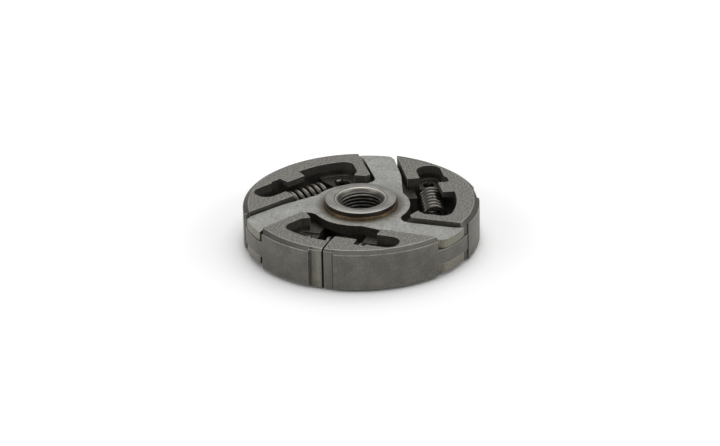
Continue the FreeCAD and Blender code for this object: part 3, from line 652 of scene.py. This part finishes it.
def spacer_material(groups, _):
    """Dull steel between the plates."""
    surface = Surface("dull_spacer", groups, fine_scale=2600.0, broad_scale=300.0)
    base = surface.mottle(four(SPACER_STEEL), surface.broad, swing=0.2)
    base = surface.mottle(base, surface.fine, swing=0.15)
    return surface.finish(base, roughness=0.5, depth=0.02 * MM, metallic=0.8)


def braze_material(groups, finish):
    """Brazing metal, bright in places, burnt brown in others and darker at its top, under the
    flange.
    """
    surface = Surface("brazing_metal", groups, fine_scale=2200.0, broad_scale=420.0)
    nodes = surface.nodes
    bright = nodes.ramp(surface.broad, *BRAZE_PATCHES)
    base = nodes.mix(bright, four(BURNT_BRAZE), four(finish.braze))
    # Darker towards the top of the upper bead
    darker_top = nodes.ramp(surface.level, *BEAD_TOP)
    base = surface.tint(base, DARK_BEAD_TOP, darker_top, strength=0.75)
    base = surface.mottle(base, surface.fine, swing=0.2)
    return surface.finish(base, roughness=0.38, depth=0.03 * MM, metallic=0.9)


def spring_material(groups, finish):
    """Oiled spring wire with a brown cast."""
    surface = Surface("spring_wire", groups, fine_scale=3600.0, broad_scale=500.0)
    nodes = surface.nodes
    brown = nodes.ramp(surface.broad, *WIRE_PATCHES)
    base = nodes.mix(brown, four(finish.spring), four(WIRE_BROWN))
    base = surface.mottle(base, surface.fine, swing=0.2)
    roughness = surface.uneven(surface.broad, 0.16, 0.26)
    surface.shader.inputs["Coat Weight"].default_value = 1.0
    surface.shader.inputs["Coat Roughness"].default_value = 0.08
    return surface.finish(base, roughness, depth=0.012 * MM, metallic=0.9)


MAKERS = {
    "shoe": shoe_material,
    "plate": plate_material,
    "hub": hub_material,
    "spacer": spacer_material,
    "braze": braze_material,
    "spring": spring_material,
}
made_materials = {}


def material_for(slot):
    """The material of one of the record's slots. All are made the first time one is asked for."""
    if not made_materials:
        groups = {
            "place": place_group(),
            "grain": grain_group(),
            "pits": pits_group(),
            "wear": wear_group(),
        }
        for word, maker in MAKERS.items():
            made_materials[word] = maker(groups, bpy.context.scene.clutch_finish)
    return made_materials[slot]


def new_piece(name, mesh, slot):
    """An object at the origin with one material."""
    piece = bpy.data.objects.new(name, mesh)
    bpy.context.scene.collection.objects.link(piece)
    mesh.materials.clear()
    mesh.materials.append(material_for(slot))
    return piece


def gap_axes(number):
    """Turns the frame of a gap between two shoes into the object's frame."""
    return Matrix.Rotation(FIRST_GAP - math.pi / 2 + STEP * number, 3, "Z")


def points_by(shape, axes, place, reach):
    """The points of a mesh that lie by a place in a gap's frame, at any level."""
    centre = axes @ Vector((*place, 0))
    return [point for point in shape.verts if (point.co.xy - centre.xy).length < reach]


def fold_faces(shape, axes, fold, faces):
    """Adds an upright fold line to some faces."""
    parts = set(faces)
    for face in faces:
        parts.update(face.edges)
        parts.update(face.verts)
    bmesh.ops.bisect_plane(
        shape, geom=list(parts), dist=MERGE_DISTANCE,
        plane_co=axes @ Vector((fold, 0, 0)), plane_no=axes @ Vector((1, 0, 0)),
    )


def flare_channel(shape, number):
    """Flares the two walls of a shoe's channel where they meet the rim."""
    axes = gap_axes(number - 1)
    for fold, corner, flare in CHANNEL_FLARES:
        walls = {
            face for point in points_by(shape, axes, corner, CORNER_REACH)
            for face in point.link_faces if abs(face.normal.z) < UPRIGHT
        }
        fold_faces(shape, axes, fold, walls)
        for point in points_by(shape, axes, corner, CORNER_REACH):
            point.co += axes @ Vector((*flare, 0))


def move_hook_hole(shape, number):
    """Moves a shoe's hook hole at end B from its packed place to the real one."""
    axes = gap_axes(number)
    shift = Vector((*HOLE_B, 0)) - Vector((*PACKED_HOLE_B, 0))
    for point in points_by(shape, axes, PACKED_HOLE_B, HOLE_RADIUS + NEAR):
        point.co += axes @ shift


def close_seams(shape, number):
    """Closes a shoe's seams with its neighbours, except the open one in front. Gives the points
    that it moved."""
    closed = set()
    for gap in (number - 1, number):
        if gap % SHOES == 0:
            continue
        axes = gap_axes(gap)
        for point in shape.verts:
            x, y, level = axes.transposed() @ point.co
            if abs(x) < SEAM_PACKED + SEAM_SLACK and y > 0:
                point.co = axes @ Vector((math.copysign(SEAM_CLOSED, x), y, level))
                closed.add(point)
    return closed


def settle_shoe(shape, number):
    """Brings a packed shoe to its measured form. Gives the points whose edges stay sharp."""
    flare_channel(shape, number)
    move_hook_hole(shape, number)
    return close_seams(shape, number)


def spread_tips(shape):
    """Brings the tips of a drive plate's arms out, cuts their corner at edge A back and spreads
    the one at edge B. Gives no points, because all edges are rounded."""
    for number in range(SHOES):
        axes = gap_axes(number)
        fold_faces(shape, axes, TIP_FOLD, shape.faces)
        for point in shape.verts:
            x, y, level = axes.transposed() @ point.co
            if x > TIP_START or (x > TIP_FOLD - NEAR and y < TIP_MIDDLE):
                continue
            x -= math.sqrt(TIP_RADIUS ** 2 - y ** 2) - math.sqrt(TIP_PACKED ** 2 - y ** 2)
            if y > TIP_WALL_A:
                x += TIP_CUT_BACK
            elif y > TIP_CORNER_A:
                y -= TIP_MOVE_IN
            spread = (TIP_MIDDLE - y) / (TIP_MIDDLE - TIP_EDGE_B)
            y -= TIP_SPREAD * max(0.0, min(1.0, spread))
            point.co = axes @ Vector((x, y, level))
    return set()


def eased_copy(node, width, slot, reshape):
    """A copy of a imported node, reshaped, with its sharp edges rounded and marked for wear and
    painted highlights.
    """
    shape = bmesh.new()
    shape.from_mesh(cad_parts[node].data)
    worn = shape.faces.layers.float.new("worn")
    bmesh.ops.remove_doubles(shape, verts=shape.verts, dist=MERGE_DISTANCE)
    bmesh.ops.dissolve_limit(
        shape, angle_limit=FLAT_ANGLE, verts=shape.verts, edges=shape.edges,
        use_dissolve_boundaries=False,
    )
    shape.normal_update()
    kept_sharp = reshape(shape)
    shape.normal_update()
    edges = [
        edge for edge in shape.edges
        if len(edge.link_faces) == 2 and edge.calc_face_angle() > EDGE_ANGLE
        and not kept_sharp.issuperset(edge.verts)
    ]
    made = bmesh.ops.bevel(
        shape, geom=edges, offset=width, offset_type="OFFSET", segments=2, profile=0.5,
        affect="EDGES", clamp_overlap=False, loop_slide=True, material=-1,
    )
    shape.normal_update()
    # Convex rounded faces carry wear and painted highlights
    for face in made["faces"]:
        bends = [edge.calc_face_angle_signed(0.0) for edge in face.edges]
        if sum(bends) > 0:
            face[worn] = 1.0
    piece = piece_from(shape, f"{node}_eased", slot)
    weighted = piece.modifiers.new("Weighted normals", "WEIGHTED_NORMAL")
    weighted.keep_sharp = True
    return piece


def piece_from(shape, name, slot):
    """Turns a shape into a smooth piece with its sharp edges kept."""
    for face in shape.faces:
        face.smooth = True
    mesh = bpy.data.meshes.new(name)
    shape.to_mesh(mesh)
    shape.free()
    mesh.set_sharp_from_angle(angle=SHARP_ANGLE)
    return new_piece(name, mesh, slot)


def swept_ring(name, section, columns, slot):
    """A closed ring; section(angle) gives the points of its section as radius and height."""
    shape = bmesh.new()
    rings = []
    for column in range(columns):
        angle = math.tau * column / columns
        rings.append([
            shape.verts.new((radius * math.cos(angle), radius * math.sin(angle), level))
            for radius, level in section(angle)
        ])
    for column in range(columns):
        here = rings[column]
        after = rings[(column + 1) % columns]
        for row in range(len(here)):
            below = (row + 1) % len(here)
            shape.faces.new((here[row], here[below], after[below], after[row]))
    bmesh.ops.recalc_face_normals(shape, faces=shape.faces)
    return piece_from(shape, name, slot)


def thread_radius(thread, angle, level):
    """Radius of a 60 degree left-hand thread's wall."""
    turn = (level / thread.pitch + angle / math.tau) % 1.0
    depth = thread.root_radius - thread.crest_radius
    rise = (turn - CREST_SHARE) / FLANK_SHARE
    fall = (1.0 - turn) / FLANK_SHARE
    return thread.crest_radius + depth * max(0.0, min(1.0, rise, fall))


class CLUTCH_OT_hub(bpy.types.Operator):
    """Turns the hub with its flange and cuts the left-hand thread in its bore"""

    bl_idname = "clutch.hub"
    bl_label = "Hub"

    def execute(self, context):
        thread = context.scene.clutch_thread
        outside = [
            (thread.crest_radius + BORE_FOOT, 0.0),
            (BARREL_RADIUS - LOWER_ROUND, 0.0),
            (BARREL_RADIUS, LOWER_ROUND),
            (BARREL_RADIUS, UPPER_PLATE_TOP),
            (FLANGE_RADIUS - LOWER_ROUND, UPPER_PLATE_TOP),
            (FLANGE_RADIUS, UPPER_PLATE_TOP + LOWER_ROUND),
            (FLANGE_RADIUS, HUB_TOP - TOP_ROUND),
            (FLANGE_RADIUS - TOP_ROUND_MIDDLE, HUB_TOP - TOP_ROUND_MIDDLE),
            (FLANGE_RADIUS - TOP_ROUND, HUB_TOP),
        ]
        outside += [(MOUTH_RADIUS + past, HUB_TOP - depth) for past, depth in MOUTH_LIP]
        entry_low = HUB_TOP - thread.entry_depth
        run_in_low = entry_low - THREAD_RUN_IN
        run_in_slope = (thread.entry_radius - thread.crest_radius) / THREAD_RUN_IN
        rows = ROWS_PER_PITCH * round(entry_low / thread.pitch)
        levels = [entry_low - entry_low * row / rows for row in range(rows)]

        def section(angle):
            bore = []
            for level in levels:
                cut = thread_radius(thread, angle, level)
                run_in = thread.crest_radius + (level - run_in_low) * run_in_slope
                foot = thread.crest_radius + BORE_FOOT - level
                radius = min(thread.entry_radius, max(cut, run_in, foot))
                bore.append((radius, level))
            return outside + bore

        piece = swept_ring("hub_turned", section, HUB_COLUMNS, "hub")
        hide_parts("hub")
        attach(piece, ROOT)
        return {"FINISHED"}


def bead_section(radius, level, rise, angle):
    """The section of a brazed bead at an angle round the hub, from its foot over to its top."""
    around = Vector((math.cos(angle), math.sin(angle), radius * BEAD_SHIFT))
    swell = 1.0 + sum(share * noise.noise(around * pace) for pace, share in BEAD_SWELLS)
    leg = BEAD_LEG * swell
    height = rise * swell
    inner = radius - BEAD_SINK
    points = [(inner, level), (radius + leg, level)]
    for step in range(1, BEAD_STEPS):
        turn = math.pi / 2 * step / BEAD_STEPS
        points.append((
            radius + leg * (BEAD_TOP_WIDTH + (1 - BEAD_TOP_WIDTH) * math.cos(turn)),
            level + height * (BEAD_TOE_HEIGHT + (1 - BEAD_TOE_HEIGHT) * math.sin(turn)),
        ))
    points.append((inner, level + height))
    return points


class CLUTCH_OT_braze(bpy.types.Operator):
    """Runs the two uneven fillets of brazing metal round the hub"""

    bl_idname = "clutch.braze"
    bl_label = "Brazed fillets"

    def execute(self, context):
        for node, radius, level, rise in (
            ("braze_fillet_upper", FLANGE_RADIUS, UPPER_PLATE_TOP, 0.72 * MM),
            ("braze_fillet_lower", BARREL_RADIUS, PLATE_LOW, -0.42 * MM),
        ):
            section = partial(bead_section, radius, level, rise)
            piece = swept_ring(f"{node}_bead", section, BEAD_COLUMNS, "braze")
            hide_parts(node)
            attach(piece, ROOT)
        return {"FINISHED"}


class CLUTCH_OT_plates(bpy.types.Operator):
    """Rounds the edges of the two drive plates and gives them their steel"""

    bl_idname = "clutch.plates"
    bl_label = "Drive plates"

    def execute(self, context):
        width = context.scene.clutch_finish.plate_edge_width
        for node in ("drive_plate_lower", "drive_plate_upper"):
            piece = eased_copy(node, width, "plate", spread_tips)
            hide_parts(node)
            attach(piece, ROOT)
        return {"FINISHED"}


class CLUTCH_OT_spacer(bpy.types.Operator):
    """Gives the spacer between the plates its dull steel"""

    bl_idname = "clutch.spacer"
    bl_label = "Spacer"

    def execute(self, context):
        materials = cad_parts["hub_spacer"].data.materials
        materials.clear()
        materials.append(material_for("spacer"))
        return {"FINISHED"}


class CLUTCH_OT_shoes(bpy.types.Operator):
    """Rounds the edges of the three shoes and gives them their sintered iron"""

    bl_idname = "clutch.shoes"
    bl_label = "Shoes"

    def execute(self, context):
        width = context.scene.clutch_finish.shoe_edge
        for number in range(1, SHOES + 1):
            node = f"shoe_{number}"
            piece = eased_copy(node, width, "shoe", partial(settle_shoe, number=number))
            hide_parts(node)
            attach(piece, f"{node}_body")
        return {"FINISHED"}


def wire_tree():
    """Sweeps a round wire along a path: the path, the wire's radius and sides, the material."""
    tree = bpy.data.node_groups.new("Clutch wire", "GeometryNodeTree")
    sockets = tree.interface
    sockets.new_socket("Path", in_out="INPUT", socket_type="NodeSocketGeometry")
    radius = sockets.new_socket("Wire radius", in_out="INPUT", socket_type="NodeSocketFloat")
    sides = sockets.new_socket("Sides", in_out="INPUT", socket_type="NodeSocketInt")
    metal = sockets.new_socket("Metal", in_out="INPUT", socket_type="NodeSocketMaterial")
    sockets.new_socket("Wire", in_out="OUTPUT", socket_type="NodeSocketGeometry")
    given = tree.nodes.new("NodeGroupInput")
    out = tree.nodes.new("NodeGroupOutput")
    nodes = Nodes(tree)
    circle = nodes.add(
        "GeometryNodeCurvePrimitiveCircle",
        {"Resolution": given.outputs["Sides"], "Radius": given.outputs["Wire radius"]},
    )
    wire = nodes.add(
        "GeometryNodeCurveToMesh",
        {"Curve": given.outputs["Path"], "Profile Curve": circle, "Fill Caps": True},
    )
    wire = nodes.add("GeometryNodeSetShadeSmooth", {"Geometry": wire})
    wire = nodes.add("GeometryNodeRealizeInstances", {0: wire})
    wire = nodes.add("GeometryNodeSetMaterial", {0: wire, "Material": given.outputs["Metal"]})
    tree.links.new(wire, out.inputs[0])
    return tree, {"radius": radius.identifier, "sides": sides.identifier, "metal": metal.identifier}


def spring_path(sizes, span):
    """The wire's line in the spring's own frame: X up, Z from hole A to hole B."""
    mean = sizes.coil_radius
    start = sizes.reach_a + sizes.wire_radius
    end = span - sizes.reach_b - sizes.wire_radius
    samples = TURN_POINTS * sizes.turns
    coil = []
    for sample in range(samples + 1):
        angle = math.pi + math.tau * sizes.turns * sample / samples
        level = start + (end - start) * sample / samples
        coil.append(Vector((mean * math.cos(angle), mean * math.sin(angle), level)))
    hook_a = hook_path(sizes, sizes.hook_pull, start, 1)
    hook_b = hook_path(sizes, span - sizes.hook_pull, end, -1)
    return hook_a + coil[JOIN_POINTS:-JOIN_POINTS] + hook_b[::-1]


def hook_path(sizes, stands, leaves, side):
    """A hook from its tip over the web, down through the hole and along below to the coil."""
    bend = sizes.hook_bend
    top = sizes.hook_top
    low = -sizes.coil_radius
    points = [Vector((top, 0, stands + side * (bend + sizes.hook_tip)))]
    turns = [math.pi / 2 * step / BEND_STEPS for step in range(BEND_STEPS + 1)]
    for turn in turns:
        points.append(Vector((
            top - bend * (1 - math.cos(turn)), 0, stands + side * bend * (1 - math.sin(turn)),
        )))
    for turn in turns:
        points.append(Vector((
            low + bend * (1 - math.sin(turn)), 0, stands + side * bend * (1 - math.cos(turn)),
        )))
    last = leaves - side * COIL_LEAD
    points.append(Vector((low, 0, (stands + side * bend + last) / 2)))
    points.append(Vector((low, 0, last)))
    return points


def wire_piece(name, points, sizes, tree, keys):
    """A piece of round wire along some points."""
    curve = bpy.data.curves.new(f"{name}_path", "CURVE")
    curve.dimensions = "3D"
    spline = curve.splines.new("POLY")
    spline.points.add(len(points) - 1)
    for place, point in zip(spline.points, points):
        place.co = (*point, 1.0)
    carrier = bpy.data.objects.new(f"{name}_path", curve)
    bpy.context.scene.collection.objects.link(carrier)
    modifier = carrier.modifiers.new("Wire", "NODES")
    modifier.node_group = tree
    modifier[keys["radius"]] = sizes.wire_radius
    modifier[keys["sides"]] = sizes.sides
    modifier[keys["metal"]] = material_for("spring")
    bpy.context.view_layer.update()
    graph = bpy.context.evaluated_depsgraph_get()
    mesh = bpy.data.meshes.new_from_object(carrier.evaluated_get(graph))
    mesh.name = name
    bpy.data.objects.remove(carrier)
    bpy.data.curves.remove(curve)
    return new_piece(name, mesh, "spring")


class CLUTCH_OT_springs(bpy.types.Operator):
    """Winds the three springs from round wire, each in two halves"""

    bl_idname = "clutch.springs"
    bl_label = "Springs"

    def execute(self, context):
        sizes = context.scene.clutch_wire
        tree, keys = wire_tree()
        for number in range(SHOES):
            turn = gap_axes(number)
            hole_a = turn @ Vector((*HOLE_A, MIDDLE))
            hole_b = turn @ Vector((*HOLE_B, MIDDLE))
            along = (hole_b - hole_a).normalized()
            up = Vector((0, 0, 1))
            axes = Matrix((up, along.cross(up), along)).transposed()
            path = [
                hole_a + axes @ point
                for point in spring_path(sizes, (hole_b - hole_a).length)
            ]
            centre = len(path) // 2
            halves = (
                ("a", path[:centre + 1], number + 1, hole_a, sizes.reach_a),
                ("b", path[centre:][::-1], (number - 1) % SHOES + 1, hole_b, sizes.reach_b),
            )
            for end, points, shoe, hole, reach in halves:
                name = f"spring_{number + 1}_half_{end}"
                piece = wire_piece(name, points, sizes, tree, keys)
                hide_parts(f"spring_{number + 1}")
                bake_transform(piece)
        return {"FINISHED"}


class CLUTCH_OT_studio(bpy.types.Operator):
    """Sets up the pale floor, the soft lamps and the camera"""

    bl_idname = "clutch.studio"
    bl_label = "Studio"

    def execute(self, context):
        scene = context.scene
        studio = scene.clutch_studio
        self.floor(scene, studio)
        self.sky(scene, studio)
        for name, setting, width, place in LAMPS:
            light = bpy.data.lights.new(name, "AREA")
            light.energy = getattr(studio, setting)
            light.size = width
            lamp = bpy.data.objects.new(name, light)
            lamp.location = place
            lamp.rotation_euler = Vector(place).to_track_quat("Z", "Y").to_euler()
            scene.collection.objects.link(lamp)
        self.camera(scene)
        scene.view_settings.view_transform = "Standard"
        return {"FINISHED"}

    def floor(self, scene, studio):
        mesh = bpy.data.meshes.new("floor")
        corners = [
            (x * FLOOR_HALF, y * FLOOR_HALF, -FLOOR_SINK)
            for x, y in ((-1, -1), (1, -1), (1, 1), (-1, 1))
        ]
        mesh.from_pydata(corners, [], [(0, 1, 2, 3)])
        plane = bpy.data.objects.new("floor", mesh)
        scene.collection.objects.link(plane)
        material = bpy.data.materials.new("pale_floor")
        material.use_nodes = True
        tree = material.node_tree
        nodes = Nodes(tree)
        shader = tree.nodes["Principled BSDF"]
        shader.inputs["Base Color"].default_value = four(studio.floor)
        shader.inputs["Roughness"].default_value = 0.9
        shader.inputs["Specular IOR Level"].default_value = 0.1
        rays = tree.nodes.new("ShaderNodeLightPath")
        # Painted light: the floor glows for camera and glossy rays, less near the part and not at
        # all under it, which paints its shadow
        seen = nodes.maths("MAXIMUM", rays.outputs["Is Camera Ray"], rays.outputs["Is Glossy Ray"])
        point = nodes.add("ShaderNodeTexCoord", output="Object")
        away = nodes.add(
            "ShaderNodeVectorMath", {"Vector": point}, output="Value", operation="LENGTH",
        )
        glow = nodes.maths(
            "MULTIPLY", nodes.ramp(away, *GLOW_START), nodes.ramp(away, *GLOW_GROWTH, *GLOW),
        )
        tree.links.new(nodes.maths("MULTIPLY", seen, glow), shader.inputs["Emission Strength"])
        shader.inputs["Emission Color"].default_value = (1, 1, 1, 1)
        mesh.materials.append(material)

    def sky(self, scene, studio):
        """Light from all round, with a white background for the camera."""
        world = bpy.data.worlds.new("studio_sky")
        world.use_nodes = True
        scene.world = world
        tree = world.node_tree
        nodes = Nodes(tree)
        rays = tree.nodes.new("ShaderNodeLightPath")
        behind = nodes.maths("MULTIPLY", rays.outputs["Is Camera Ray"], 1.0 - studio.sky)
        background = tree.nodes["Background"]
        tree.links.new(nodes.maths("ADD", behind, studio.sky), background.inputs["Strength"])
        background.inputs["Color"].default_value = (1, 1, 1, 1)

    def camera(self, scene):
        back = Vector((0, -math.cos(CAMERA_ELEVATION), math.sin(CAMERA_ELEVATION)))
        level_up = Vector((0, math.sin(CAMERA_ELEVATION), math.cos(CAMERA_ELEVATION)))
        side = Vector((1, 0, 0))
        right = side * math.cos(CAMERA_ROLL) - level_up * math.sin(CAMERA_ROLL)
        up = side * math.sin(CAMERA_ROLL) + level_up * math.cos(CAMERA_ROLL)
        lens = bpy.data.cameras.new("camera")
        lens.lens = CAMERA_LENS
        lens.sensor_width = CAMERA_SENSOR
        camera = bpy.data.objects.new("camera", lens)
        turn = Matrix((right, up, back)).transposed().to_4x4()
        place = Vector(CAMERA_TARGET) + back * CAMERA_DISTANCE
        camera.matrix_world = Matrix.Translation(place) @ turn
        scene.collection.objects.link(camera)
        scene.camera = camera


class CLUTCH_PT_panel(bpy.types.Panel):
    """Lists the clutch's sizes, finishes and pieces"""

    bl_idname = "CLUTCH_PT_panel"
    bl_label = "Centrifugal clutch"
    bl_space_type = "VIEW_3D"
    bl_region_type = "UI"
    bl_category = "Clutch"

    def draw(self, context):
        for title, word in (
            ("Thread", "clutch_thread"),
            ("Springs", "clutch_wire"),
            ("Finish", "clutch_finish"),
            ("Studio", "clutch_studio"),
        ):
            box = self.layout.box()
            box.label(text=title)
            settings = getattr(context.scene, word)
            for setting in SETTINGS[word].__annotations__:
                box.prop(settings, setting)
        for operator in OPERATORS:
            self.layout.operator(operator.bl_idname)


SETTINGS = {
    "clutch_thread": ClutchThread,
    "clutch_wire": ClutchWire,
    "clutch_finish": ClutchFinish,
    "clutch_studio": ClutchStudio,
}
OPERATORS = (
    CLUTCH_OT_hub,
    CLUTCH_OT_braze,
    CLUTCH_OT_plates,
    CLUTCH_OT_spacer,
    CLUTCH_OT_shoes,
    CLUTCH_OT_springs,
    CLUTCH_OT_studio,
)


def register():
    for word, group in SETTINGS.items():
        bpy.utils.register_class(group)
        setattr(bpy.types.Scene, word, PointerProperty(type=group))
    for operator in OPERATORS:
        bpy.utils.register_class(operator)
    bpy.utils.register_class(CLUTCH_PT_panel)


def unregister():
    bpy.utils.unregister_class(CLUTCH_PT_panel)
    for operator in reversed(OPERATORS):
        bpy.utils.unregister_class(operator)
    for word, group in SETTINGS.items():
        delattr(bpy.types.Scene, word)
        bpy.utils.unregister_class(group)


def main():
    register()
    bpy.ops.clutch.hub()
    bpy.ops.clutch.braze()
    bpy.ops.clutch.plates()
    bpy.ops.clutch.spacer()
    bpy.ops.clutch.shoes()
    bpy.ops.clutch.springs()
    bpy.ops.clutch.studio()


if __name__ == "__main__":
    main()
